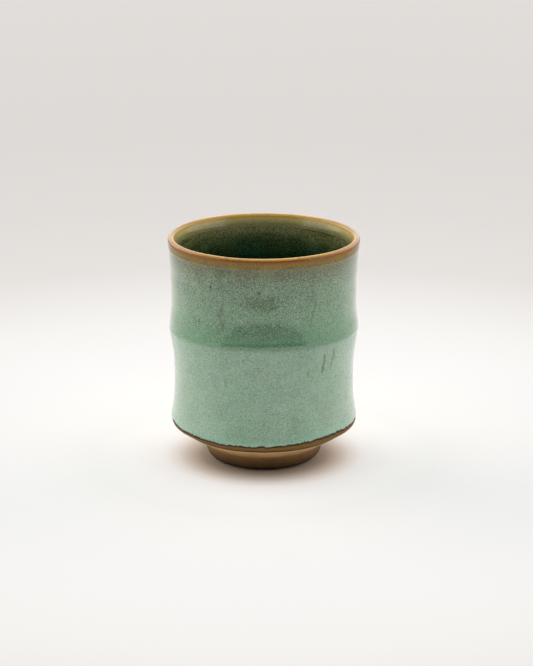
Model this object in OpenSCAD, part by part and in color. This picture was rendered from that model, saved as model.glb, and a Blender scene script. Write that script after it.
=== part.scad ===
// Yunomi: a handleless Japanese tea cup, thrown in stoneware, turned at the foot and glazed.
// All lengths are in millimetres. The foot stands on z = 0, +Z is up and the cup is seen from -Y.

/* [Overall] */
// Height from the table to the top of the lip
cup_h = 93.5; // [88:0.1:110]
// Widest diameter across the lip
rim_d = 78; // [76:0.1:90]

/* [Outer wall] */
// How far the bare clay's belly, just above the bottom corner, lies in from the rim
belly_in = 1.05; // [0.2:0.05:2.5]
// Height of the belly's upright stretch above the bottom corner
belly_rise = 0.5; // [0.2:0.1:4]
// How far the hollow between belly and ridge lies in from the rim
lower_waist_in = 2.3; // [1:0.05:4]
// How far that hollow lies below the ridge's crest
lower_waist_drop = 22.5; // [14:0.1:26]
// How far the crest of the swelling ridge round the middle lies in from the rim
node_in = 0.35; // [0:0.05:1.5]
// Height of the ridge's crest
node_h = 56.1; // [50:0.1:62]
// How far the shallow hollow above the ridge lies in from the rim
upper_waist_in = 1.25; // [0.5:0.05:3]
// How far that hollow lies above the ridge's crest
upper_waist_rise = 10.7; // [8:0.1:16]

/* [Inside] */
// Thickness of the wall with its glazes at both hollows
wall_t = 3.3; // [2.5:0.1:5]
// Thickness of the glazed floor above the top of the foot ring
floor_t = 6.3; // [4.5:0.1:9]
// Radius of the round inner corner between floor and wall
well_corner_r = 13; // [8:0.5:18]
// How far the floor sinks towards its middle
floor_dish = 0.5; // [0:0.1:1.5]

/* [Lip] */
// Thickness of the rounded lip with its glaze
lip_w = 2.7; // [2:0.1:3.6]
// How far the iron glaze runs down the outside of the lip
rim_band_h = 4.2; // [3:0.1:9]
// How far the iron glaze runs down the inside of the lip
rim_band_in_h = 5.2; // [3:0.1:9]

/* [Turned bottom] */
// Radius of the bottom corner of the clay
corner_r = 2.4; // [1.5:0.1:3]
// Slope of the turned band below the corner, from level
band_slope = 33.5; // [28:0.5:45]
// How far the turned band runs in from the belly to the turned line where the underside begins
band_run = 5.75; // [5:0.05:7.5]
// Rise of the underside from the foot ring out to the turned line
under_rise = 5.3; // [4.5:0.1:6]
// Width of the turned line
crease_line_w = 0.6; // [0.3:0.1:1]
// Depth of the turned line
crease_line_depth = 0.3; // [0.1:0.05:0.5]

/* [Foot ring] */
// Outer diameter of the foot ring
foot_d = 47.4; // [44:0.1:54]
// Height of the foot ring, from the table to the underside
foot_h = 6.3; // [5.4:0.1:8]
// Width of the foot ring under the well's roof
foot_ring_w = 7.7; // [7.2:0.1:10]
// Radius of the foot ring's outer lower edge
foot_edge_r = 4.8; // [1:0.1:5.2]
// Radius of the foot ring's inner lower edge
foot_inner_edge_r = 1; // [0.5:0.1:1.2]
// How much wider the well is at the table than at its roof
foot_well_flare = 0.8; // [0:0.1:1.5]
// Rise of the well's roof towards its middle
foot_well_dome = 0.6; // [0:0.1:1.2]

/* [Glazes] */
// Thickness of the first outer coat
first_coat_t = 0.3; // [0.2:0.05:0.5]
// Thickness of the second outer coat, which lies over the first
second_coat_t = 0.2; // [0.1:0.05:0.4]
// Thickness of the liner glaze inside
liner_t = 0.5; // [0.3:0.05:1]
// How far the first coat's dip line lies above the turned line, at the cup's axis
first_dip_rise = 6.8; // [6.4:0.1:12]
// Tilt of that dip line, lowest near the front
first_dip_tilt = 3.4; // [0:0.1:3.6]
// Turn of that tilt's low point towards the left
first_dip_turn = 14; // [-30:1:30]
// How far the second coat's dip line lies below the ridge's crest, at the cup's axis
second_dip_drop = 1.4; // [0:0.1:5]
// Tilt of that dip line, highest at the front
second_dip_tilt = 3; // [0:0.1:4]

/* [Hidden] */

// How far a cutting solid reaches past what it cuts
overrun = 1;
// Straight steps in one bend of the wall, and in one rounded corner
bend_steps = 8;
arc_steps = 6;
// How early each bend of the wall turns: 1 is even, less is early and more is late
even_lean_share = 1;
belly_lean_share = 0.58;
ridge_lean_share = 1.68;
shoulder_lean_share = 0.82;
flare_lean_share = 2.25;
// Angles on the lip's round edge at which the flaring wall meets it, outside and inside
lip_start_angle = -6;
lip_end_angle = 172;
// Step on the bottom corner from which the first coat is drawn, before its dip line cuts it
coat_start_step = 2;

outer_t = first_coat_t + second_coat_t;
lip_r = lip_w / 2;
clay_lip_r = lip_r - outer_t;
lip_c = [rim_d / 2 - lip_r, cup_h - lip_r];
corner_turn = 90 - band_slope;

// Radii of the finished wall at its two hollows
lower_waist_r = rim_d / 2 - lower_waist_in;
upper_waist_r = rim_d / 2 - upper_waist_in;

// Radii of the bare clay under its coats
clay_belly_r = rim_d / 2 - belly_in;
clay_lower_waist_r = lower_waist_r - first_coat_t;
clay_node_r = rim_d / 2 - node_in - outer_t;
clay_upper_waist_r = upper_waist_r - outer_t;
crease_r = clay_belly_r - band_run;
foot_well_r = foot_d / 2 - foot_ring_w;

// Heights above the table
crease_h = foot_h + under_rise;
floor_h = foot_h + floor_t;
lower_waist_h = node_h - lower_waist_drop;
upper_waist_h = node_h + upper_waist_rise;
first_dip_h = crease_h + first_dip_rise;
second_dip_h = node_h - second_dip_drop;

// The bottom corner rolls from the band's slope up to the belly
corner_c_r = clay_belly_r - corner_r;
corner_end_r = corner_c_r + corner_r * cos(corner_turn);
corner_c_h = crease_h + (corner_end_r - crease_r) * tan(band_slope) + corner_r * sin(corner_turn);
belly_h = corner_c_h + belly_rise;

// Points of an arc round centre c, from one angle to another
function arc(c, r, from, to, n = arc_steps) =
    [for (i = [0 : n]) let (a = from + (to - from) * i / n) c + r * [cos(a), sin(a)]];

// Heights from a up to, and without, b
function levels(a, b, n = bend_steps) = [for (i = [0 : n - 1]) a + (b - a) * i / n];

// Share of the way from one height to another
function way(z, a, b) = (z - a) / (b - a);

// A bend that leaves and ends upright
function bend(r_a, r_b, t, lean) = r_a + (r_b - r_a) * (1 - cos(180 * pow(t, lean))) / 2;

// A flare that leaves upright and opens all the way
function flare(r_a, r_b, t, lean) = r_a + (r_b - r_a) * pow(t, lean);

flare_end = lip_c + clay_lip_r * [cos(lip_start_angle), sin(lip_start_angle)];
rim_band_z = cup_h - rim_band_h;
rim_band_in_z = cup_h - rim_band_in_h;

// Radius of the clay's outer wall at a height above the bottom corner
function clay_r(z) =
    z < belly_h ? clay_belly_r :
    z < lower_waist_h ? bend(clay_belly_r, clay_lower_waist_r, way(z, belly_h, lower_waist_h), belly_lean_share) :
    z < node_h ? bend(clay_lower_waist_r, clay_node_r, way(z, lower_waist_h, node_h), ridge_lean_share) :
    z < upper_waist_h ? bend(clay_node_r, clay_upper_waist_r, way(z, node_h, upper_waist_h), shoulder_lean_share) :
    flare(clay_upper_waist_r, flare_end[0], way(z, upper_waist_h, flare_end[1]), flare_lean_share);

// The heights at which the wall, and each coat on it, has a point
wall_levels = concat(
    levels(belly_h, lower_waist_h),
    levels(lower_waist_h, node_h),
    levels(node_h, upper_waist_h),
    levels(upper_waist_h, rim_band_z),
    [rim_band_z]
);

// The outer wall between two heights, a coat of thickness t further out
function wall(from, to, t) = [for (z = wall_levels) if (z >= from && z <= to) [clay_r(z) + t, z]];

// The bottom corner from one of its steps up to the belly, a coat of thickness t further out
corner_edge = arc([corner_c_r, corner_c_h], corner_r, -corner_turn, 0);
function corner(step, t) = [for (i = [step : arc_steps]) corner_edge[i] + [t, 0]];

// The inner wall of bare clay follows the two hollows and opens into the lip
inner_low_r = lower_waist_r - wall_t + liner_t;
inner_high_r = upper_waist_r - wall_t + liner_t;
inner_c = [inner_low_r - well_corner_r, floor_h - liner_t + well_corner_r];
inner_top = lip_c + clay_lip_r * [cos(lip_end_angle), sin(lip_end_angle)];
inner_levels = concat(
    levels(inner_c[1], upper_waist_h),
    levels(upper_waist_h, rim_band_in_z),
    [rim_band_in_z]
);
function inner_r(z) =
    z < upper_waist_h ? bend(inner_low_r, inner_high_r, way(z, inner_c[1], upper_waist_h), even_lean_share) :
    flare(inner_high_r, inner_top[0], way(z, upper_waist_h, inner_top[1]), flare_lean_share);

// The inner outline from the middle of the floor up to the iron glaze, t further in
function inside(t) = concat(
    [[0, floor_h - liner_t - floor_dish + t]],
    arc(inner_c, well_corner_r - t, -90, 0, bend_steps),
    [for (z = inner_levels) if (z > inner_c[1]) [inner_r(z) - t, z]]
);

function turned_back(points) = [for (i = [len(points) - 1 : -1 : 0]) points[i]];

// The lip's round edge, from the flaring wall over the top to the inner wall
function lip_edge(r) = arc(lip_c, r, lip_start_angle, lip_end_angle, 2 * arc_steps);

// Everything below a dip line that leans by a tilt, its low or high point turned from the front
module below_dip(h, tilt, turn) {
    translate([0, 0, h])
        rotate([0, 0, -turn])
            rotate([tilt, 0, 0])
                mirror([0, 0, 1])
                    cylinder(h = h + overrun, r = rim_d / 2 + overrun);
}

module clay_body() {
    color("#7b5c3a")
        rotate_extrude()
            polygon(concat(
                [[0, foot_h + foot_well_dome], [foot_well_r, foot_h], [foot_d / 2, foot_h]],
                crease_line(),
                corner(0, 0),
                wall(belly_h, cup_h, 0),
                lip_edge(clay_lip_r),
                turned_back(inside(0))
            ));
}

// A shallow notch that the turning tool leaves between underside and band
function crease_line() =
    let (under_slope = atan((crease_h - foot_h) / (crease_r - foot_d / 2)),
        middle = (under_slope + band_slope) / 2,
        half = crease_line_w / 2)
    [
        [crease_r, crease_h] - half * [cos(under_slope), sin(under_slope)],
        [crease_r, crease_h] + crease_line_depth * [-sin(middle), cos(middle)],
        [crease_r, crease_h] + half * [cos(band_slope), sin(band_slope)]
    ];

module foot_ring() {
    color("#5f452a")
        rotate_extrude()
            polygon(concat(
                [[foot_well_r, foot_h]],
                turned_back(arc(
                    [foot_well_r + foot_well_flare / 2 + foot_inner_edge_r, foot_inner_edge_r],
                    foot_inner_edge_r, 270, 180
                )),
                arc([foot_d / 2 - foot_edge_r, foot_edge_r], foot_edge_r, -90, 0),
                [[foot_d / 2, foot_h]]
            ));
}

module liner_glaze() {
    color("#4a4a20")
        rotate_extrude()
            polygon(concat(inside(0), turned_back(inside(liner_t))));
}

module first_coat_glaze() {
    color("#8fae93")
        difference() {
            rotate_extrude()
                polygon(concat(
                    corner(coat_start_step, 0),
                    wall(belly_h, rim_band_z, 0),
                    turned_back(wall(belly_h, rim_band_z, first_coat_t)),
                    turned_back(corner(coat_start_step, first_coat_t))
                ));
            below_dip(first_dip_h, first_dip_tilt, first_dip_turn);
        }
}

module second_coat_glaze() {
    color("#6f7d5c")
        difference() {
            rotate_extrude()
                polygon(concat(
                    wall(lower_waist_h, rim_band_z, first_coat_t),
                    turned_back(wall(lower_waist_h, rim_band_z, outer_t))
                ));
            below_dip(second_dip_h, -second_dip_tilt, 0);
        }
}

module rim_glaze() {
    color("#b08040")
        rotate_extrude()
            polygon(concat(
                [[clay_r(rim_band_z), rim_band_z]],
                lip_edge(clay_lip_r),
                [[inner_r(rim_band_in_z), rim_band_in_z], [inner_r(rim_band_in_z) - outer_t, rim_band_in_z]],
                turned_back(lip_edge(lip_r)),
                [[clay_r(rim_band_z) + outer_t, rim_band_z]]
            ));
}

clay_body();
foot_ring();
liner_glaze();
first_coat_glaze();
second_coat_glaze();
rim_glaze();
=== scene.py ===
import math

import bpy
import numpy as np
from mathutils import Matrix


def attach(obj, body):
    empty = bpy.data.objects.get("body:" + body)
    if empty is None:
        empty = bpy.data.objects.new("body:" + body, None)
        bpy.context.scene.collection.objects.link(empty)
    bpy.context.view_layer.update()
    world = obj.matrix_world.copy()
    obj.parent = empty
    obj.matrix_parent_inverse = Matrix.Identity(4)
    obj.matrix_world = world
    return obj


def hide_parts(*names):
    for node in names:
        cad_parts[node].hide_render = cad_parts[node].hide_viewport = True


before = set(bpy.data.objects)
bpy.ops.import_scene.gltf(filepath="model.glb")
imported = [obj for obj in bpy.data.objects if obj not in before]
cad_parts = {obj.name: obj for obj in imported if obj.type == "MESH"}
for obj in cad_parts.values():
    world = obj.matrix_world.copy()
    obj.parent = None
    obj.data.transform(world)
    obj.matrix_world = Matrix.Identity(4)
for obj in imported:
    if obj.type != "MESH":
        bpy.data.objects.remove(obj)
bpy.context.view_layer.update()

# A glazed stoneware yunomi. Lengths are in millimetres until a mesh is made.
# Azimuths run from the front, where the camera is, and grow towards +X.
MM = 0.001
SEED = 7

# Sizes of the solid model
cup_h = 93.5
rim_r = 39.0
belly_in = 1.05
belly_rise = 0.5
lower_waist_in = 2.3
lower_waist_drop = 22.5
node_in = 0.35
node_h = 56.1
upper_waist_in = 1.25
upper_waist_rise = 10.7
wall_t = 3.3
floor_t = 6.3
well_corner_r = 13.0
floor_dish = 0.5
lip_w = 2.7
rim_band_h = 4.2
rim_band_in_h = 5.2
corner_r = 2.4
band_slope = math.radians(33.5)
band_run = 5.75
under_rise = 5.3
crease_line_w = 0.6
crease_line_depth = 0.3
foot_r = 23.7
foot_h = 6.3
foot_ring_w = 7.7
foot_edge_r = 4.8
foot_inner_edge_r = 1.0
foot_well_flare = 0.8
foot_well_dome = 0.6
first_coat_t = 0.3
second_coat_t = 0.2
liner_t = 0.5

# How the wall bends from one height to the next: 1 is even, less turns early and more turns late
belly_lean = 0.58
ridge_lean = 1.68
shoulder_lean = 0.82
flare_lean = 2.25

# Angles at which the lip's round edge starts outside and ends inside
lip_start = math.radians(-6)
lip_end = math.radians(172)

# How far a coat's hidden face lies inside what it covers
sunk = 0.06

# The potter's throwing marks start above this height
marks_h = 16

# From about this height up the first coat hides the clay
hidden_h = 20

# The second coat's dip line: its height at the axis, its lean and the wall's radius there
dip_h = 54.45
dip_lean = math.radians(3)
dip_r = 38

outer_t = first_coat_t + second_coat_t
lip_r = lip_w / 2
clay_lip_r = lip_r - outer_t
lip_x = rim_r - lip_r
lip_z = cup_h - lip_r
lower_waist_r = rim_r - lower_waist_in
upper_waist_r = rim_r - upper_waist_in
clay_belly_r = rim_r - belly_in
clay_lower_waist_r = lower_waist_r - first_coat_t
clay_node_r = rim_r - node_in - outer_t
clay_upper_waist_r = upper_waist_r - outer_t
crease_r = clay_belly_r - band_run
crease_h = foot_h + under_rise
foot_well_r = foot_r - foot_ring_w
floor_h = foot_h + floor_t
lower_waist_h = node_h - lower_waist_drop
upper_waist_h = node_h + upper_waist_rise
rim_band_z = cup_h - rim_band_h
rim_band_in_z = cup_h - rim_band_in_h
corner_turn = math.pi / 2 - band_slope
corner_x = clay_belly_r - corner_r
corner_end_r = corner_x + corner_r * math.cos(corner_turn)
corner_low_h = crease_h + (corner_end_r - crease_r) * math.tan(band_slope)
corner_h = corner_low_h + corner_r * math.sin(corner_turn)
belly_h = corner_h + belly_rise
flare_end_r = lip_x + clay_lip_r * math.cos(lip_start)
flare_end_h = lip_z + clay_lip_r * math.sin(lip_start)
inner_low_r = lower_waist_r - wall_t + liner_t
inner_high_r = upper_waist_r - wall_t + liner_t
inner_x = inner_low_r - well_corner_r
inner_z = floor_h - liner_t + well_corner_r
inner_top_r = lip_x + clay_lip_r * math.cos(lip_end)
inner_top_h = lip_z + clay_lip_r * math.sin(lip_end)
dip_rise = dip_r * math.tan(dip_lean)


def way(z, a, b):
    """How far a height is on its way from a to b, as a share."""
    return np.clip((z - a) / (b - a), 0, 1)


def bend(r_a, r_b, t, lean):
    """A radius on its way from r_a to r_b that starts and ends upright."""
    return r_a + (r_b - r_a) * (1 - np.cos(np.pi * t**lean)) / 2


def flare(r_a, r_b, t, lean):
    """A radius on its way from r_a to r_b that starts upright and widens ever faster."""
    return r_a + (r_b - r_a) * t**lean


def clay_r(z):
    """Radius of the bare clay's outside at a height above the crease line."""
    z = np.asarray(z, float)
    band = crease_r + (z - crease_h) / math.tan(band_slope)
    corner = corner_x + np.sqrt(np.clip(corner_r**2 - (corner_h - z) ** 2, 0, None))
    belly = bend(clay_belly_r, clay_lower_waist_r, way(z, belly_h, lower_waist_h), belly_lean)
    ridge = bend(clay_lower_waist_r, clay_node_r, way(z, lower_waist_h, node_h), ridge_lean)
    shoulder = bend(clay_node_r, clay_upper_waist_r, way(z, node_h, upper_waist_h), shoulder_lean)
    top = flare(clay_upper_waist_r, flare_end_r, way(z, upper_waist_h, flare_end_h), flare_lean)
    zones = [z < corner_low_h, z < corner_h, z < lower_waist_h, z < node_h, z < upper_waist_h]
    return np.select(zones, [band, corner, belly, ridge, shoulder], top)


def inner_r(z):
    """Radius of the bare clay's inside at a height above the floor's round corner."""
    z = np.asarray(z, float)
    even = 1
    low = bend(inner_low_r, inner_high_r, way(z, inner_z, upper_waist_h), even)
    high = flare(inner_high_r, inner_top_r, way(z, upper_waist_h, inner_top_h), flare_lean)
    return np.where(z < upper_waist_h, low, high)


def arc(x, z, r, start, end, count):
    """Points on a circle of radius r round x and z, from one angle to another."""
    a = np.linspace(start, end, count)
    return x + r * np.cos(a), z + r * np.sin(a)


def smooth(t):
    """0 up to 0, 1 from 1 on, and a smooth way between."""
    t = np.clip(t, 0, 1)
    return t * t * (3 - 2 * t)


def ring_noise(azimuth, cells, seed):
    """Seeded noise from -1 to 1 that closes round the cup, with so many cells in a turn."""
    values = np.random.RandomState(SEED + seed).uniform(-1, 1, cells)
    at = (azimuth / (2 * np.pi) % 1) * cells
    low = np.floor(at).astype(int) % cells
    t = smooth(at - np.floor(at))
    return values[low] * (1 - t) + values[(low + 1) % cells] * t


def throwing(azimuth, z):
    """How far the potter's fingers left the outer wall in or out, fading at the lip and at the corner.

    Two spirals, one each way round, a wall slightly out of round and a few soft dents are added up.
    """
    spiral_h = 11.7
    tight_spiral_h = 7.1
    fade_h = 8
    top_h = cup_h - 1.5
    waves = 0.03 * np.sin(2 * np.pi * z / spiral_h + azimuth + 0.5)
    waves = waves + 0.02 * np.sin(2 * np.pi * z / tight_spiral_h - azimuth + 2.1)
    waves = waves + 0.035 * np.sin(2 * azimuth + z / 21) + 0.02 * np.sin(3 * azimuth - z / 9 + 1)
    waves = waves + 0.015 * np.sin(7 * azimuth + z / 5) * np.sin(z / 6.5 + 0.7)
    return waves * smooth((z - marks_h) / fade_h) * smooth((top_h - z) / fade_h)


def inner_throwing(azimuth, z):
    """The soft spiral that the fingers left up the inside."""
    depth = 0.07
    spiral_h = 8.5
    low_fade_h = 10
    top_h = rim_band_in_z - 4
    top_fade_h = 12
    spiral = depth * np.sin(2 * np.pi * z / spiral_h + azimuth)
    return spiral * smooth((z - marks_h) / low_fade_h) * smooth((top_h - z) / top_fade_h)


def inner_swell(z):
    """How much thicker the inside is just below the lip, so that the inner edge turns over softly."""
    swell_t = 0.34
    top_h = 92.4
    top_fade_h = 3.2
    low_h = 72
    low_fade_h = 14
    return swell_t * smooth((top_h - z) / top_fade_h) * smooth((z - low_h) / low_fade_h)


def first_edge(azimuth):
    """Height of the first coat's toothed lower edge, which dips in front and steps up on the right."""
    # Azimuths in degrees, and how high the edge runs there
    dip_line = [
        (-180, 20.1), (-130, 19), (-90, 17.7), (-65, 16.9), (-51, 16.65), (-38, 16.1),
        (-24, 15.55), (-12, 15.3), (0, 15.5), (14, 15.85), (24, 16.2), (33, 16.6),
        (41, 17.2), (48, 17.5), (62, 17.3), (90, 17.8), (130, 19.3),
    ]
    at, heights = zip(*dip_line)
    degrees = np.degrees(azimuth)

    # The line's corners are rounded off by an average over azimuths close by
    shifts = (-4, -2, 0, 2, 4)
    line = sum(np.interp(degrees + shift, at, heights, period=360) for shift in shifts) / len(shifts)
    line = line + 0.12 * ring_noise(azimuth, cells=34, seed=1)
    tooth_h = 0.5
    sharpness = 1.3
    teeth = np.abs(ring_noise(azimuth, cells=170, seed=2)) ** sharpness * tooth_h
    fine = 0.16 * ring_noise(azimuth, cells=260, seed=3)
    coarse = 0.12 * ring_noise(azimuth, cells=90, seed=4)
    return line + teeth + fine + coarse


def second_edge(azimuth):
    """Height of the second coat's lower edge, a leaning line with soft waves."""
    highest_side = math.radians(4)
    line = dip_h + dip_rise * np.cos(azimuth - highest_side)
    line = line + 0.22 * np.sin(2 * azimuth + 1.9) + 0.12 * np.sin(5 * azimuth + 0.6)
    coarse = 0.16 * ring_noise(azimuth, cells=26, seed=5)
    fine = 0.06 * ring_noise(azimuth, cells=90, seed=6)
    return line + coarse + fine


def azimuths(steps):
    """Azimuths in even steps round the cup."""
    return np.arange(steps) * 2 * np.pi / steps


def spread(values, steps):
    """One value a row, repeated round the cup."""
    return np.repeat(np.asarray(values, float)[:, None], steps, axis=1)


def lathe(name, radii, heights, closed, edge=None):
    """A watertight mesh from rows of points round the axis. Rows run up the outside, so normals point out.

    A closed one joins its last row to its first. An open one ends in a point on the axis at both ends.
    edge is each point's height above a glaze edge, which the materials read.
    """
    rows, steps = radii.shape
    azimuth = azimuths(steps)
    x = radii * np.sin(azimuth)
    y = -radii * np.cos(azimuth)
    points = np.stack([x, y, heights], axis=-1).reshape(-1, 3)
    here = np.arange(steps)
    there = (here + 1) % steps
    pairs = [(i, i + 1) for i in range(rows - 1)]
    if closed:
        pairs.append((rows - 1, 0))
    quads = [
        np.stack([a * steps + here, a * steps + there, b * steps + there, b * steps + here], axis=-1)
        for a, b in pairs
    ]
    faces = np.concatenate(quads).tolist()
    if not closed:
        first = len(points)
        ends = [[0, 0, heights[0].mean()], [0, 0, heights[-1].mean()]]
        points = np.concatenate([points, ends])
        faces += np.stack([there, here, np.full(steps, first)], axis=-1).tolist()
        last = (rows - 1) * steps
        faces += np.stack([last + here, last + there, np.full(steps, first + 1)], axis=-1).tolist()
    mesh = bpy.data.meshes.new(name)
    mesh.from_pydata((points * MM).tolist(), [], faces)
    if edge is not None:
        layer = mesh.attributes.new("edge", "FLOAT", "POINT")
        values = np.zeros(len(points), np.float32)
        values[:edge.size] = edge.reshape(-1)
        layer.data.foreach_set("value", values)
    mesh.shade_smooth()
    sharp_turn = math.radians(50)
    mesh.set_sharp_from_angle(angle=sharp_turn)
    piece = bpy.data.objects.new(name, mesh)
    bpy.context.scene.collection.objects.link(piece)
    return piece


def coat(name, steps, lower_edge, levels, under_t, coat_t, round_w, roll_t, roll_h):
    """An outer coat from its lower edge to the lip's band, its edge rounded and pooled in a low roll.

    levels are heights above the edge near it, and the rest of the way is cut in even rows. The hidden
    face has fewer rows.
    """
    even_rows = 62
    near_rows = 18
    near_stride = 6
    far_stride = 3
    azimuth = azimuths(steps)
    low = lower_edge(azimuth)
    near = low + levels[:, None]
    t = np.linspace(0, 1, even_rows)[1:, None]
    up = np.concatenate([near, near[-1] + t * (rim_band_z - near[-1])])
    height = up - low
    edge_t = np.sqrt(np.clip(1 - (1 - np.clip(height / round_w, 0, 1)) ** 2, 0, 1))
    roll = roll_t * np.exp(-(((height - roll_h) / roll_h) ** 2))
    thick = coat_t * edge_t + roll * edge_t
    ripple = throwing(azimuth[None, :], up)
    outside = clay_r(up) + under_t + ripple + thick
    pick_near = np.arange(0, near_rows, near_stride)
    pick_far = np.arange(near_rows, len(up), far_stride)
    pick = np.unique(np.concatenate([pick_near, pick_far, [len(up) - 1]]))
    inside = clay_r(up[pick]) + under_t + ripple[pick] - sunk
    radii = np.concatenate([outside, inside[::-1]])
    heights = np.concatenate([up, up[pick][::-1]])
    edge = np.concatenate([height, height[pick][::-1]])
    return lathe(name, radii, heights, closed=True, edge=edge)


def make_first_coat():
    """The pale first coat, with many steps round the cup for its fine teeth."""
    near = np.array([0, 0.03, 0.08, 0.15, 0.25, 0.36, 0.48, 0.6, 0.75, 0.95, 1.2, 1.5, 1.9, 2.4, 3, 3.7])
    return coat(
        "first_coat", steps=1080, lower_edge=first_edge, levels=near,
        under_t=0, coat_t=first_coat_t, round_w=0.4, roll_t=0.05, roll_h=0.9,
    )


def make_second_coat():
    """The second coat, dipped over the first."""
    near = np.array([0, 0.03, 0.08, 0.15, 0.25, 0.36, 0.5, 0.7, 0.95, 1.3, 1.8, 2.4, 3.2])
    return coat(
        "second_coat", steps=600, lower_edge=second_edge, levels=near,
        under_t=first_coat_t, coat_t=second_coat_t, round_w=0.4, roll_t=0.1, roll_h=0.8,
    )


def make_rim():
    """The lip's iron glaze, from the outer wall over the round edge to the inner wall."""
    steps = 600
    wall_rows = 12
    lip_rows = 26
    inner_rows = 14
    back_rows = 10
    azimuth = azimuths(steps)
    up = np.linspace(rim_band_z, lip_z + lip_r * math.sin(lip_start), wall_rows)
    out_r = spread(clay_r(up) + outer_t, steps) + throwing(azimuth[None, :], spread(up, steps))
    over_r, over_z = arc(lip_x, lip_z, lip_r, lip_start, lip_end, lip_rows)
    down = np.linspace(over_z[-1], rim_band_in_z, inner_rows)[1:]
    in_r = spread(inner_r(down) - outer_t - inner_swell(down), steps)
    uneven = 0.05 * np.sin(2 * azimuth + 0.4) + 0.04 * ring_noise(azimuth, cells=22, seed=7)
    top_z = spread(over_z, steps)
    top_z = top_z + uneven * smooth((over_z[:, None] - lip_z) / lip_r)
    back_r, back_z = arc(lip_x, lip_z, clay_lip_r - sunk, lip_end, lip_start, back_rows)
    radii = [out_r, spread(over_r, steps)[1:], in_r]
    heights = [spread(up, steps), top_z[1:], spread(down, steps)]
    inner_back = spread([inner_r(rim_band_in_z) + sunk], steps)
    outer_back = spread([clay_r(rim_band_z) - sunk], steps)
    radii += [inner_back, spread(back_r, steps), outer_back]
    heights += [spread([rim_band_in_z], steps), spread(back_z, steps), spread([rim_band_z], steps)]
    return lathe("rim", np.concatenate(radii), np.concatenate(heights), closed=True)


def liner_rows(t, steps, fine):
    """The inside, from near the middle of the floor up to the iron glaze, t further in than the clay.

    A fine one has more rows, and the marks that the potter left: rings on the floor and a spiral
    up the wall.
    """
    floor_rows, corner_rows, wall_rows = (26, 28, 80) if fine else (6, 9, 14)
    middle_r = 0.4
    azimuth = azimuths(steps)
    floor_r = np.linspace(middle_r, inner_x, floor_rows)[:-1]
    middle = floor_h - liner_t - floor_dish
    floor_z = middle + (floor_r / inner_x) ** 2 * floor_dish
    ring_depth = 0.1
    ring_w = 6
    middle_fade_w = 3
    edge_fade_w = 4
    turn = ring_depth * np.cos(2 * np.pi * floor_r[:, None] / ring_w - azimuth[None, :])
    turn = turn * smooth(floor_r[:, None] / middle_fade_w)
    turn = turn * smooth((inner_x - floor_r[:, None]) / edge_fade_w)
    low_r, low_z = arc(inner_x, inner_z, well_corner_r - t, -math.pi / 2, 0, corner_rows)
    up = np.linspace(inner_z, rim_band_in_z, wall_rows)[1:]
    wall = spread(inner_r(up) - t - (inner_swell(up) if fine else 0), steps)
    wave = inner_throwing(azimuth[None, :], spread(up, steps)) if fine else 0
    radii = np.concatenate([spread(floor_r, steps), spread(low_r, steps), wall + wave])
    heights = [spread(floor_z + t, steps) + (turn if fine else 0), spread(low_z, steps), spread(up, steps)]
    return radii, np.concatenate(heights)


def make_liner():
    """The liner glaze, a skin that follows the inside. Its rows run up the clay's side and down again."""
    steps = 480
    back_r, back_z = liner_rows(-sunk, steps, fine=False)
    face_r, face_z = liner_rows(liner_t, steps, fine=True)
    radii = np.concatenate([back_r, face_r[::-1]])
    heights = np.concatenate([back_z, face_z[::-1]])
    return lathe("liner", radii, heights, closed=False)


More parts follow.
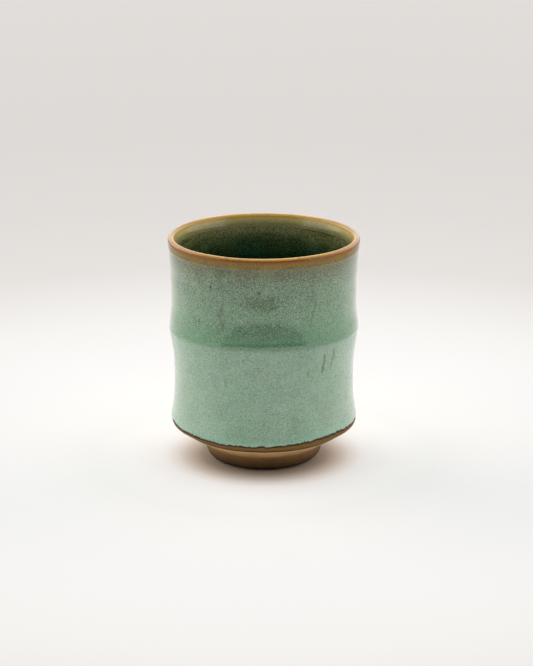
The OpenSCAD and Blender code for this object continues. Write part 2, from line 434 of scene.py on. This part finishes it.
def make_clay():
    """The bare clay, of which the turned band, the underside and the roof of the well show."""
    steps = 720
    flat_rows = 30
    band_rows = 24
    low_rows = 30
    high_rows = 40
    lip_rows = 12
    middle_r = 0.5

    # How far the roof and the underside run on inside the foot ring
    tuck = 0.5
    azimuth = azimuths(steps)

    # The roof of the well, with the tool's rings
    ring_depth = 0.07
    ring_w = 2.6
    roof_r = np.linspace(middle_r, foot_well_r + tuck, flat_rows)
    roof_z = foot_h + foot_well_dome * (1 - roof_r / foot_well_r)
    roof_z = roof_z + ring_depth * np.sin(2 * np.pi * roof_r / ring_w)

    # The underside, the line cut where it meets the band, and the band
    under_slope = math.atan((crease_h - foot_h) / (crease_r - foot_r))
    middle = (under_slope + band_slope) / 2
    half = crease_line_w / 2
    under_r = np.linspace(foot_r - tuck, crease_r - half * math.cos(under_slope), flat_rows)
    under_z = foot_h + (under_r - foot_r) * math.tan(under_slope)

    # How far the line's bottom reaches to each side and rises there, as shares of its depth
    notch_run = 0.35
    notch_rise = 0.1
    sides = np.array([-1, 0, 1]) * crease_line_depth
    notch_r = crease_r + sides * notch_run - crease_line_depth * math.sin(middle)
    notch_z = crease_h + sides * notch_rise + crease_line_depth * math.cos(middle)
    band_r = np.linspace(crease_r + half * math.cos(band_slope), corner_end_r, band_rows)
    band_z = crease_h + (band_r - crease_r) * math.tan(band_slope)

    # The wall and the lip under the glazes
    low_wall = np.linspace(corner_low_h, hidden_h, low_rows)[1:]
    high_wall = np.linspace(hidden_h, flare_end_h, high_rows)[1:]
    up = np.concatenate([low_wall, high_wall])
    over_r, over_z = arc(lip_x, lip_z, clay_lip_r, lip_start, lip_end, lip_rows)

    out_r = [roof_r, under_r, notch_r, band_r, clay_r(up), over_r[1:]]
    out_z = [roof_z, under_z, notch_z, band_z, up, over_z[1:]]
    out_r = spread(np.concatenate(out_r), steps)
    out_z = spread(np.concatenate(out_z), steps)

    # The clay that shows is slightly uneven, and the wall under the coats keeps a little clear of them
    uneven_t = 0.04
    low_fade_h = 2
    high_fade_h = 3
    clear_t = 0.02
    clear_h = hidden_h - 0.5
    showing = smooth((out_z - foot_h) / low_fade_h) * smooth((hidden_h - out_z) / high_fade_h)
    out_r = out_r + showing * uneven_t * ring_noise(azimuth, cells=60, seed=8)[None, :]
    out_r = out_r + throwing(azimuth[None, :], out_z) - clear_t * (out_z > clear_h)
    back_r, back_z = liner_rows(0, steps, fine=False)
    radii = np.concatenate([out_r, back_r[::-1]])
    heights = np.concatenate([out_z, back_z[::-1]])
    return lathe("clay", radii, heights, closed=False, edge=heights - first_edge(azimuth))


def make_foot():
    """The turned foot ring, slightly grooved by the tool."""
    steps = 600

    # How far the ring's top runs on inside the clay
    tuck = 0.3
    azimuth = azimuths(steps)
    half_flare = foot_well_flare / 2
    in_x = foot_well_r + half_flare + foot_inner_edge_r
    in_r, in_z = arc(in_x, foot_inner_edge_r, foot_inner_edge_r, math.pi, 1.5 * math.pi, count=10)
    wall_in_z = np.linspace(foot_h + tuck, foot_inner_edge_r, num=14)[:-1]
    wall_in_r = foot_well_r + half_flare * way(wall_in_z, foot_h, foot_inner_edge_r)
    out_r, out_z = arc(foot_r - foot_edge_r, foot_edge_r, foot_edge_r, -math.pi / 2, 0, count=34)
    wall_out_z = np.linspace(foot_edge_r, foot_h + tuck, num=10)[1:]
    flat_r = np.linspace(in_r[-1], out_r[0], num=6)[1:-1]
    radii = [wall_in_r, in_r, flat_r, out_r, np.full(len(wall_out_z), foot_r)]
    heights = [wall_in_z, in_z, np.zeros(len(flat_r)), out_z, wall_out_z]
    radii = np.concatenate(radii)
    heights = np.concatenate(heights)

    # Only the outer side is grooved and uneven, so that the ring stands flat
    contact_end_r = 20.5
    outer_fade_w = 2
    groove_depth = 0.05
    groove_h = 1.9
    low_fade_h = 1.2
    outer = smooth((radii - contact_end_r) / outer_fade_w)
    grooves = groove_depth * np.sin(2 * np.pi * heights / groove_h) * outer * smooth(heights / low_fade_h)
    uneven = 0.05 * ring_noise(azimuth, cells=40, seed=9) + 0.06 * np.sin(2 * azimuth + 1)
    radii = spread(radii + grooves, steps) + spread(outer, steps) * uneven
    return lathe("foot", radii, spread(heights, steps), closed=True)


def rgb(r, g, b):
    """A colour given in sRGB steps from 0 to 255, as the linear colour that the renderer wants."""
    shares = np.array([r, g, b]) / 255
    low = shares / 12.92
    high = ((shares + 0.055) / 1.055) ** 2.4
    return [*np.where(shares <= 0.04045, low, high).tolist(), 1.0]


class Nodes:
    """Helpers to build a node tree. A value is a number, a colour or another node's output."""

    def __init__(self, tree, coordinates, scale):
        self.tree = tree
        place = self.node("TexCoord", {}).outputs[coordinates]
        self.place = self.node("VectorMath", {0: place, "Scale": scale}, operation="SCALE").outputs[0]
        self.x, self.y, self.z = self.node("SeparateXYZ", {0: self.place}).outputs[:3]
        flat = self.node("CombineXYZ", {"X": self.x, "Y": self.y, "Z": 0.0}).outputs[0]
        # out is the distance from the axis, and facing is 1 in front, 0 at the sides and -1 behind
        self.out = self.node("VectorMath", {0: flat}, operation="LENGTH").outputs["Value"]
        self.facing = self.math("DIVIDE", self.times(self.y, -1.0), self.out)

    def node(self, kind, inputs, **settings):
        """A new node with its settings and the values of its inputs."""
        made = self.tree.nodes.new("ShaderNode" + kind)
        for name, value in settings.items():
            setattr(made, name, value)
        for key, value in inputs.items():
            self.put(made.inputs[key], value)
        return made

    def put(self, socket, value):
        """Link a node's output to the socket, or set the socket to a number or colour."""
        if isinstance(value, bpy.types.NodeSocket):
            self.tree.links.new(value, socket)
        else:
            socket.default_value = value

    def math(self, operation, a, b=0.0, clamp=False):
        return self.node("Math", {0: a, 1: b}, operation=operation, use_clamp=clamp).outputs[0]

    def plus(self, a, b, clamp=False):
        return self.math("ADD", a, b, clamp)

    def minus(self, a, b):
        return self.math("SUBTRACT", a, b)

    def times(self, a, b):
        return self.math("MULTIPLY", a, b)

    def step(self, value, start, end, low=0.0, high=1.0):
        """low up to start, high from end on, and a smooth way between."""
        inputs = {"Value": value, "From Min": start, "From Max": end, "To Min": low, "To Max": high}
        return self.node("MapRange", inputs, interpolation_type="SMOOTHSTEP").outputs[0]

    def blend(self, share, a, b):
        """A number between a and b, by way of the Mix node's third and fourth sockets."""
        made = self.node("Mix", {0: share}, data_type="FLOAT")
        self.put(made.inputs[2], a)
        self.put(made.inputs[3], b)
        return made.outputs[0]

    def mix(self, share, a, b):
        """A colour between a and b, by way of the Mix node's seventh and eighth sockets."""
        made = self.node("Mix", {0: share}, data_type="RGBA")
        self.put(made.inputs[6], a)
        self.put(made.inputs[7], b)
        return made.outputs[2]

    def noise(self, size, detail, roughness, place=None):
        """Noise from 0 to 1 whose blots are about size millimetres across."""
        place = place or self.place
        inputs = {"Vector": place, "Scale": 1 / size, "Detail": detail, "Roughness": roughness}
        return self.node("TexNoise", inputs).outputs["Fac"]

    def jitter(self, reach, size, detail, roughness):
        """Noise round 0 that spans reach, to move or tear an outline."""
        return self.times(self.minus(self.noise(size, detail, roughness), 0.5), reach)

    def ramp(self, value, stops):
        """A colour for each height or distance in millimetres, from the lowest up."""
        low = stops[0][0]
        high = stops[-1][0]
        share = self.node("MapRange", {"Value": value, "From Min": low, "From Max": high}).outputs[0]
        made = self.node("ValToRGB", {"Fac": share})
        elements = made.color_ramp.elements
        while len(elements) < len(stops):
            elements.new(0.5)
        for element, (at, colour) in zip(elements, stops):
            element.position = (at - low) / (high - low)
            element.color = rgb(*colour)
        return made.outputs["Color"]


class Shader(Nodes):
    """A material whose coordinates are the object's millimetres."""

    def __init__(self, name):
        self.material = bpy.data.materials.new(name)
        self.material.use_nodes = True
        tree = self.material.node_tree
        self.surface = tree.nodes["Principled BSDF"]
        super().__init__(tree, "Object", 1 / MM)

    def dress(self, values):
        """Give the surface its values, by the names of its sockets, and return the finished material."""
        for name, value in values.items():
            self.put(self.surface.inputs[name], value)
        return self.material

    def bump(self, height, distance, normal=None):
        """A normal bent by a relief whose full height is so many millimetres."""
        inputs = {"Height": height, "Distance": distance * MM, "Strength": 1.0}
        if normal is not None:
            inputs["Normal"] = normal
        return self.node("Bump", inputs).outputs[0]

    def above_edge(self):
        """How far a point lies above the glaze edge, as lathe stored it."""
        return self.node("Attribute", {}, attribute_name="edge").outputs["Fac"]

    def beside(self, a):
        """How far a point lies beside an azimuth in radians, along the wall."""
        return self.plus(self.times(self.x, math.cos(a)), self.times(self.y, math.sin(a)))

    def same_side(self, a):
        """1 on the wall within about 60 degrees of an azimuth in radians, and 0 elsewhere."""
        towards = self.minus(self.times(self.x, math.sin(a)), self.times(self.y, math.cos(a)))
        return self.math("GREATER_THAN", towards, rim_r / 2)

    def spot(self, azimuth, z, half_w, half_h, torn):
        """1 inside an oval mark on the wall and 0 outside it. torn makes its outline uneven."""
        a = math.radians(azimuth)
        rise = self.minus(self.z, z)
        across = self.math("POWER", self.math("DIVIDE", self.math("ABSOLUTE", self.beside(a)), half_w), 2)
        along = self.math("POWER", self.math("DIVIDE", self.math("ABSOLUTE", rise), half_h), 2)
        outside = 1.6
        inside = 0.3
        oval = self.step(self.plus(self.plus(across, along), torn), outside, inside)
        return self.times(oval, self.same_side(a))

    def marks(self, colour, mark_colour, torn, places):
        """The colour with marks over it.

        A place is an azimuth in degrees, a height, a half width, a half height and how strong the mark is.
        """
        for azimuth, z, half_w, half_h, share in places:
            mark = self.spot(azimuth, z, half_w, half_h, torn)
            colour = self.mix(self.times(mark, share), colour, mark_colour)
        return colour

    def vein_and_reflection_edge(self, azimuth, low, high):
        """1 on a thin wavering line up the wall between two heights, with a faint hem, and 0 beside it."""
        a = math.radians(azimuth)
        wide_sway = self.jitter(reach=14, size=8, detail=3, roughness=0.5)
        side = self.plus(self.beside(a), wide_sway)
        fine_sway = self.jitter(reach=2.2, size=1.6, detail=3, roughness=0.6)
        gap = self.math("ABSOLUTE", self.plus(side, fine_sway))
        half_w = 0.5
        core = 0.15
        hem = 1.9
        hem_core = 0.2
        fade_h = 4
        patchy = self.noise(size=2, detail=2, roughness=0.5)
        broken = self.step(patchy, 0.35, 0.6, 0.3, 1.0)
        line = self.times(self.step(gap, half_w, core), broken)
        line = self.plus(line, self.step(gap, hem, hem_core, 0.0, 0.25), clamp=True)
        line = self.times(line, self.step(self.z, low, low + fade_h))
        line = self.times(line, self.step(self.z, high, high - fade_h))
        return self.times(line, self.same_side(a))


# Dark flecks of the glazes
iron_black = rgb(24, 30, 8)
iron_green = rgb(10, 50, 24)

# The second coat and the lip
pale_fleck = rgb(206, 220, 196)
# Lip colours for the lip's sides only, painted shade against the side lamps' reflection
side_shade_amber = rgb(186, 124, 16)
side_shade_olive = rgb(166, 130, 44)
olive_fleck = rgb(170, 170, 110)
patch_green = rgb(50, 98, 38)
# Pooled glaze that also holds a painted reflection of the dim front
pool_reflection_green = rgb(62, 112, 74)
thin_green = rgb(118, 152, 122)
rust_brown = rgb(108, 80, 42)
spot_brown = rgb(64, 54, 18)
# Wavering lines, partly painted reflection edges
vein_reflection_green = rgb(54, 76, 38)

# The first coat
satin_green = rgb(135, 174, 144)
satin_pale = rgb(143, 177, 149)
satin_warm = rgb(131, 153, 116)
satin_fleck = rgb(208, 224, 206)
satin_pool = rgb(123, 174, 145)
# Painted shade for the wall in front under the second coat's ridge
front_ridge_shade = rgb(84, 114, 84)
drip_olive = rgb(84, 90, 48)
edge_brown = rgb(36, 24, 6)

# The liner
streak_black = rgb(16, 22, 2)
streak_teal = rgb(20, 80, 62)
liner_fleck = rgb(104, 136, 98)

# The bare clay and the foot ring
clay_deep = rgb(84, 60, 32)
clay_pale = rgb(188, 152, 108)
stain_brown = rgb(40, 27, 6)
foot_deep = rgb(48, 31, 12)
foot_pale = rgb(128, 98, 60)
speck_brown = rgb(48, 34, 20)

# The floor far in front, painted grey as shade under the tent's dim opening
front_shade_grey = rgb(178, 176, 173)

# Colours up the outside of the second coat and the lip, by height
upper_ramp = [
    (55, (104, 158, 116)), (62, (104, 151, 116)), (68, (110, 153, 117)), (76, (116, 153, 119)),
    (81, (113, 148, 112)), (84.5, (107, 133, 90)), (87.3, (106, 116, 68)), (89.3, (130, 120, 62)),
    (90.6, (146, 112, 32)), (91.6, (144, 98, 14)), (92.2, (138, 86, 2)), (92.75, (132, 80, 0)),
    (93.15, (190, 130, 8)), (93.5, (224, 172, 56)),
]

# Colours up the inside of the lip's glaze, by height
lip_inside_ramp = [
    (87.5, (128, 126, 80)), (89.6, (140, 136, 88)), (90.9, (168, 157, 100)), (91.8, (198, 176, 106)),
    (92.5, (198, 160, 80)), (93.1, (194, 142, 36)), (93.5, (224, 172, 56)),
]

# Colours up the liner, by height: near black at mid-depth, where painted shade deep in the cup darkens the
# glaze's own dark green
liner_ramp = [
    (10, (30, 64, 42)), (30, (20, 50, 32)), (60, (0, 20, 12)), (73, (2, 24, 14)),
    (76, (14, 44, 24)), (79, (36, 62, 32)), (82, (68, 82, 42)), (84, (102, 108, 62)),
    (86, (122, 123, 76)), (90, (132, 129, 82)),
]

# Colours up the foot ring, by height: toasted clay, with painted contact shade that darkens it towards the
# bottom
foot_toast_and_shade_ramp = [
    (0, (50, 35, 13)), (1.2, (61, 44, 17)), (3.2, (86, 63, 32)), (5.2, (112, 84, 48)),
    (6.4, (144, 110, 66)),
]

# Colours up the bare clay, by height: the underside, the crease line darkened as painted shade in its
# groove, and the toasted band
band_ramp = [
    (6, (168, 130, 86)), (8, (184, 145, 98)), (11.2, (204, 164, 112)), (11.48, (170, 132, 82)),
    (11.62, (40, 26, 4)), (12.25, (50, 34, 6)), (12.6, (104, 77, 32)), (14, (116, 87, 38)),
    (17, (116, 87, 38)), (19, (108, 79, 35)),
]

# Colours of the floor, by distance from the cup's axis: a painted contact shadow close to the foot, painted
# light round the cup, and painted shade that greys it further out
floor_shadow_ramp = [
    (0, (178, 165, 151)), (25, (186, 173, 159)), (29, (209, 200, 190)), (33, (241, 236, 230)),
    (41, (252, 251, 250)), (52, (244, 243, 242)), (70, (234, 233, 232)), (130, (225, 225, 225)),
    (200, (220, 219, 218)), (300, (204, 202, 200)), (420, (199, 196, 194)), (650, (195, 192, 190)),
    (1300, (198, 196, 194)),
]


def mottle(s, colour, dark, light, pale_colour, dark_colour):
    """Fine mottling of a stoneware glaze: dark flecks under a millimetre, in drifts, and pale ones."""
    drift = s.times(s.noise(size=7, detail=3, roughness=0.55), 0.16)
    grain = s.noise(size=0.52, detail=3, roughness=0.62)
    flecks = s.step(s.plus(grain, drift), 0.48, 0.7)
    pale = s.step(s.noise(size=0.45, detail=2, roughness=0.5), 0.46, 0.66)
    colour = s.mix(s.times(flecks, dark), colour, dark_colour)
    return s.mix(s.times(pale, light), colour, pale_colour)


def glaze_surface(s, colour, smoothest, roughest, pits, clear=1.0, shine=0.5):
    """Melted glass over the colour: a clear coat, orange peel and softer waves."""
    swell = s.bump(s.noise(size=7, detail=2, roughness=0.5), distance=0.07)
    normal = s.bump(s.noise(size=1.5, detail=2, roughness=0.5), distance=pits, normal=swell)
    dulled = s.noise(size=2.2, detail=3, roughness=0.6)
    return s.dress({
        "Base Color": colour,
        "Roughness": s.step(dulled, 0.3, 0.7, smoothest, roughest),
        "IOR": 1.5,
        "Specular IOR Level": shine,
        "Coat Weight": clear,
        "Coat Roughness": (smoothest + roughest) / 2,
        "Normal": normal,
        "Coat Normal": normal,
    })


def upper_colour(s, fray, lip_side_shade):
    """The colour by height: green, brown above an uneven border, a frayed amber line that painted shade
    darkens on the lip's sides, and two patches.
    """
    wander = s.jitter(reach=8, size=12, detail=3, roughness=0.6)
    wander = s.times(wander, s.step(s.z, 91.5, 85))
    fray = s.times(fray, s.step(s.z, 93.2, 91.5))
    colour = s.ramp(s.plus(s.plus(s.z, wander), fray), upper_ramp)
    # Painted shade: the lip is a darker amber on its sides
    colour = s.mix(lip_side_shade, colour, side_shade_amber)
    torn = s.jitter(reach=7, size=1.3, detail=4, roughness=0.7)
    return s.marks(colour, patch_green, torn, [(-1, 75.3, 7, 3.1, 0.8), (-24, 87.4, 3.2, 1.0, 0.6)])


def pool_and_front_reflection(s, colour):
    """The glaze pooled in a lens above the second coat's edge, darkest in front as a painted reflection of
    the dim opening there, and thin along the edge itself.
    """
    above = s.above_edge()
    lens_top = s.step(s.facing, 0.86, 1.0, 1.5, 10.3)
    torn = s.jitter(reach=6, size=3, detail=4, roughness=0.7)
    past_top = s.minus(s.plus(above, torn), lens_top)
    # Only in front: pooled glaze and a painted reflection of the dim opening
    pooled = s.times(s.step(past_top, 1.2, -1.2), s.step(s.facing, 0.8, 0.95, 0.06, 0.78))
    pooled = s.times(pooled, s.step(above, 0.5, 7, 0.42, 1.0))
    colour = s.mix(pooled, colour, pool_reflection_green)
    thin = s.step(above, 0.8, 0.05)
    return s.mix(s.times(thin, 0.5), colour, thin_green)


def upper_flecks(s, colour):
    """Mottling that grows stronger up the wall and fades on the lip, and clouds of rust towards the lip."""
    dark = s.times(s.step(s.z, 60, 87, 0.5, 0.88), s.step(s.z, 91, 88, 0.4, 1.0))
    light = s.times(s.step(s.z, 90.5, 84, 0.04, 0.31), s.step(s.z, 58, 66, 0.6, 1.0))
    fleck = s.mix(s.step(s.z, 74, 60), iron_black, iron_green)
    colour = mottle(s, colour, dark, light, pale_fleck, fleck)
    clouds = s.noise(size=3.2, detail=4, roughness=0.7)
    rust = s.times(s.step(clouds, 0.56, 0.7), s.step(s.z, 76, 91, 0.08, 0.5))
    return s.mix(rust, colour, rust_brown)


def upper_spots(s, colour):
    """Single iron spots in the second coat and on the lip."""
    torn = s.jitter(reach=3, size=1.1, detail=3, roughness=0.6)
    return s.marks(colour, spot_brown, torn, [
        (-33.5, 80.5, 0.6, 0.85, 1.0), (-2.9, 79.6, 0.55, 0.7, 1.0), (-43, 65.5, 0.35, 1.5, 0.8),
        (-26, 88.0, 0.9, 0.35, 0.5), (12, 86.0, 0.4, 0.5, 0.5), (74, 76, 0.4, 0.6, 0.7),
        (131, 84, 0.45, 0.5, 0.7), (-118, 71, 0.3, 1.2, 0.6), (168, 66, 0.45, 0.6, 0.7),
    ])


def lip_parts(s):
    """Noise that frays the lip's amber line, a mask of the cup's sides, and one of the lip's sides, where
    painted shade darkens the colour against the side lamps' reflection.
    """
    fray = s.jitter(reach=1.8, size=1.2, detail=3, roughness=0.65)
    aside = s.step(s.math("ABSOLUTE", s.facing), 0.93, 0.55)
    on_lip = s.times(aside, s.step(s.z, 92.7, 93.2))
    return fray, aside, s.times(on_lip, 0.8)


def gloss_glaze(name):
    """The glossy second coat: green, then olive and brown towards the lip, with thin wavering veins, two of
    which are painted edges of the dim front's reflection.
    """
    s = Shader(name)
    fray, aside, lip_side_shade = lip_parts(s)
    colour = upper_colour(s, fray, lip_side_shade)
    colour = pool_and_front_reflection(s, colour)
    colour = upper_flecks(s, colour)
    # The lines at -27 and 31 degrees are painted reflection edges, where the dim front's reflection ends;
    # the one at 142 degrees is drawn like them
    for azimuth, low, high, share in [(-27, 60, 91, 0.5), (31, 64, 88, 0.5), (142, 64, 88, 0.45)]:
        colour = s.mix(s.times(s.vein_and_reflection_edge(azimuth, low, high), share), colour, vein_reflection_green)
    colour = upper_spots(s, colour)
    return glaze_surface(s, colour, smoothest=0.1, roughest=0.18, pits=0.012)


def iron_glaze(name):
    """The lip's iron glaze: amber and brown outside as the coat below it, and olive inside."""
    s = Shader(name)
    fray, aside, lip_side_shade = lip_parts(s)
    colour = upper_colour(s, fray, lip_side_shade)
    colour = upper_flecks(s, colour)
    colour = upper_spots(s, colour)
    olive = s.ramp(s.plus(s.z, fray), lip_inside_ramp)
    # Painted shade: the inside of the lip is a darker olive on its sides
    olive = s.mix(lip_side_shade, olive, side_shade_olive)
    dark = s.step(s.z, 91, 88, 0.2, 0.5)
    olive = mottle(s, olive, dark, light=0.1, pale_colour=olive_fleck, dark_colour=iron_black)
    turn_w = 0.7
    colour = s.mix(s.step(s.out, lip_x, lip_x - turn_w), colour, olive)
    clear = s.blend(aside, 0.55, 0.14)
    return glaze_surface(s, colour, smoothest=0.1, roughest=0.18, pits=0.012, clear=clear, shine=0.2)


def satin_glaze(name):
    """The paler satin first coat, with its dark iron edge."""
    s = Shader(name)
    wide_clouds = s.noise(size=16, detail=3, roughness=0.55)
    colour = s.mix(s.step(wide_clouds, 0.35, 0.65), satin_green, satin_pale)
    clouds = s.noise(size=5.5, detail=4, roughness=0.65)
    colour = s.mix(s.times(s.step(clouds, 0.55, 0.72), 0.35), colour, satin_warm)
    colour = mottle(s, colour, dark=0.44, light=0.26, pale_colour=satin_fleck, dark_colour=iron_black)

    # Pooled glaze above the lower edge, and painted shade in front just below the second coat's ridge
    above = s.above_edge()
    pooled = s.times(s.step(above, 4.2, 1.2), 0.4)
    colour = s.mix(pooled, colour, satin_pool)
    dip_line = s.plus(s.times(s.facing, dip_rise), dip_h)
    below = s.step(s.minus(s.z, dip_line), -1.5, -0.1)
    below = s.times(below, s.step(s.facing, 0.75, 0.97, 0.1, 0.45))
    colour = s.mix(below, colour, front_ridge_shade)

    # Iron drips, the two tall ones at the right made of two or three torn marks each
    torn = s.jitter(reach=4, size=1.1, detail=3, roughness=0.6)
    colour = s.marks(colour, drip_olive, torn, [
        (39.9, 50.0, 0.7, 2.6, 0.7), (39.2, 45.9, 0.9, 2.4, 0.7), (47.4, 51.8, 0.6, 1.6, 0.6),
        (46.7, 49.3, 0.8, 1.4, 0.7), (46.2, 46.8, 0.6, 1.3, 0.6), (28.5, 45.3, 0.6, 2.0, 0.45),
        (-12.3, 51.6, 0.5, 0.5, 0.7), (-24, 41.5, 0.8, 1.5, 0.35), (112, 33, 0.5, 2.6, 0.5),
        (-134, 44, 0.45, 1.8, 0.5), (173, 27, 0.5, 0.6, 0.6), (-88, 24, 0.45, 0.5, 0.5),
        (66, 38, 0.4, 0.4, 0.5),
    ])
    torn_edge = s.jitter(reach=0.9, size=0.6, detail=3, roughness=0.65)
    iron_edge = s.step(s.plus(above, torn_edge), 0.5, 0.28)
    colour = s.mix(iron_edge, colour, edge_brown)
    return glaze_surface(s, colour, smoothest=0.24, roughest=0.34, pits=0.014)


def liner_glaze(name):
    """The dark liner: olive under the lip, and near black-green lower down, which is partly painted shade
    deep in the cup.
    """
    s = Shader(name)
    wander = s.jitter(reach=10, size=9, detail=4, roughness=0.6)
    wander = s.times(wander, s.step(s.z, 89.5, 85))
    colour = s.ramp(s.plus(s.z, wander), liner_ramp)
    flattened = (0.3, 0.3, 2.0)
    streak_place = s.node("VectorMath", {0: s.place, 1: flattened}, operation="MULTIPLY").outputs[0]
    streaks = s.noise(size=6, detail=4, roughness=0.65, place=streak_place)
    colour = s.mix(s.step(streaks, 0.5, 0.68, 0.0, 0.6), colour, streak_black)
    teal = s.times(s.step(streaks, 0.5, 0.36, 0.0, 0.6), s.step(s.z, 88, 80))
    colour = s.mix(teal, colour, streak_teal)
    light = s.step(s.z, 75, 80, 0.1, 0.34)
    colour = mottle(s, colour, dark=0.85, light=light, pale_colour=liner_fleck, dark_colour=iron_black)
    return glaze_surface(s, colour, smoothest=0.08, roughest=0.16, pits=0.012)


def turned_clay(s, colours, deep, pale):
    """The colour of bare stoneware: sand, clouds and turning lines over a colour by height.

    The turning lines come from noise that hardly changes round the cup. The sand and the lines are
    returned too, for the relief.
    """
    sand = s.noise(size=0.5, detail=3, roughness=0.65)
    clouds = s.noise(size=6, detail=3, roughness=0.55)
    slow = 0.02
    ring_place = s.node("CombineXYZ", {
        "X": s.times(s.x, slow), "Y": s.times(s.y, slow), "Z": s.plus(s.z, s.out),
    }).outputs[0]
    rings = s.noise(size=0.55, detail=3, roughness=0.6, place=ring_place)
    colour = s.ramp(s.z, colours)
    colour = s.mix(s.times(s.step(sand, 0.6, 0.75), 0.35), colour, deep)
    colour = s.mix(s.times(s.step(clouds, 0.45, 0.7), 0.22), colour, deep)
    colour = s.mix(s.times(s.step(rings, 0.52, 0.7), 0.2), colour, pale)
    return colour, sand, rings


def clay_surface(s, colour, sand, rings):
    """Matt fired clay with a few dark iron specks, rough to the touch."""
    specks_per_mm = 0.42
    cells = s.node("TexVoronoi", {"Vector": s.place, "Scale": specks_per_mm}).outputs["Distance"]
    colour = s.mix(s.times(s.step(cells, 0.12, 0.07), 0.7), colour, speck_brown)
    return s.dress({
        "Base Color": colour,
        "Roughness": s.step(sand, 0.3, 0.7, 0.68, 0.85),
        "Specular IOR Level": 0.25,
        "Normal": s.bump(sand, distance=0.05, normal=s.bump(rings, distance=0.06)),
    })


def bare_clay(name):
    """The toasted band and the underside, stained by iron along the first coat's edge."""
    s = Shader(name)
    colour, sand, rings = turned_clay(s, band_ramp, clay_deep, clay_pale)
    torn_edge = s.jitter(reach=0.9, size=0.6, detail=3, roughness=0.65)
    stain = s.step(s.plus(s.above_edge(), torn_edge), -0.85, -0.5)
    colour = s.mix(s.times(stain, 0.9), colour, stain_brown)
    return clay_surface(s, colour, sand, rings)


def foot_clay(name):
    """The foot ring's clay, toasted, and darkest where it stands from painted contact shade."""
    s = Shader(name)
    colour, sand, rings = turned_clay(s, foot_toast_and_shade_ramp, foot_deep, foot_pale)
    return clay_surface(s, colour, sand, rings)


def finish_piece(piece, material, node):
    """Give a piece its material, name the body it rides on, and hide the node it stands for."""
    piece.data.materials.append(material)
    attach(piece, "root")
    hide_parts(node)


finish_piece(make_clay(), bare_clay("bare_clay"), "clay_body")
finish_piece(make_foot(), foot_clay("foot_clay"), "foot_ring")
finish_piece(make_liner(), liner_glaze("liner_glaze"), "liner_glaze")
finish_piece(make_first_coat(), satin_glaze("satin_glaze"), "first_coat_glaze")
finish_piece(make_second_coat(), gloss_glaze("gloss_glaze"), "second_coat_glaze")
finish_piece(make_rim(), iron_glaze("iron_glaze"), "rim_glaze")


def make_floor():
    """A pale sheet whose colour holds painted light: a painted shadow close to the foot, painted light
    round the cup, and painted shade that greys it further back and in front.
    """
    mesh = bpy.data.meshes.new("floor")
    half_m = 12.0
    corners = [(-half_m, -half_m, 0), (half_m, -half_m, 0), (half_m, half_m, 0), (-half_m, half_m, 0)]
    mesh.from_pydata(corners, [], [(0, 1, 2, 3)])
    floor = bpy.data.objects.new("floor", mesh)
    bpy.context.scene.collection.objects.link(floor)
    s = Shader("paper")
    # Further in front the floor is painted grey, as shade under the dim opening there
    grey_start = -200
    grey_end = -400
    colour = s.mix(s.step(s.y, grey_start, grey_end), s.ramp(s.out, floor_shadow_ramp), front_shade_grey)
    mesh.materials.append(s.dress({"Base Color": colour, "Roughness": 0.9, "Specular IOR Level": 0.2}))


def make_world():
    """The light of a white tent: its walls, its roof, its dim opening in front and a lamp at each side."""
    opening = 0.04
    left_wall = 1.5
    right_wall = 1.43
    back_wall = 1.52
    roof_front = 1.18
    roof_back = 0.8
    left_lamp = 1.6
    right_lamp = 1.0
    wall_colour = [0.98, 1, 1.015, 1]
    lamp_colour = [1.09, 1, 0.92, 1]
    world = bpy.data.worlds.new("studio")
    bpy.context.scene.world = world
    world.use_nodes = True
    w = Nodes(world.node_tree, "Generated", 1.0)

    # The walls round the cup, then the roof, whose edge is a little lower in front
    level = w.step(w.x, -0.15, 0.15, left_wall, right_wall)
    level = w.blend(w.step(w.facing, -0.6, -0.85), level, back_wall)
    level = w.blend(w.step(w.facing, 0.53, 0.68), level, opening)
    roof = w.step(w.facing, -0.3, 0.5, roof_back, roof_front)
    high = w.plus(w.z, w.times(w.facing, 0.1))
    level = w.blend(w.step(high, 0.6, 0.74), level, roof)

    # One lamp each side, between the side and the back and between the floor and the roof
    lamp = w.times(w.step(w.facing, 0.02, -0.1), w.step(w.facing, -0.88, -0.76))
    lamp = w.times(lamp, w.times(w.step(w.z, 0.04, 0.14), w.step(w.z, 0.78, 0.66)))
    level = w.plus(level, w.times(lamp, w.step(w.x, -0.15, 0.15, left_lamp, right_lamp)))
    surface = world.node_tree.nodes["Background"]
    w.put(surface.inputs["Strength"], level)
    w.put(surface.inputs["Color"], w.mix(lamp, wall_colour, lamp_colour))


def make_camera():
    """The camera that was fitted to the photo. Its place is in metres and its lens in millimetres."""
    back = 0.98435
    up = 0.34473
    down_tilt = math.radians(16.551)
    photo_h_px = 666
    aside_px = 2.7
    data = bpy.data.cameras.new("camera")
    data.lens = 135.42
    data.sensor_width = 36
    data.shift_x = aside_px / photo_h_px
    camera = bpy.data.objects.new("camera", data)
    camera.location = (0, -back, up)
    camera.rotation_euler = (math.pi / 2 - down_tilt, 0, 0)
    bpy.context.scene.collection.objects.link(camera)
    bpy.context.scene.camera = camera


make_floor()
make_world()
make_camera()

bpy.context.scene.view_settings.view_transform = "Standard"
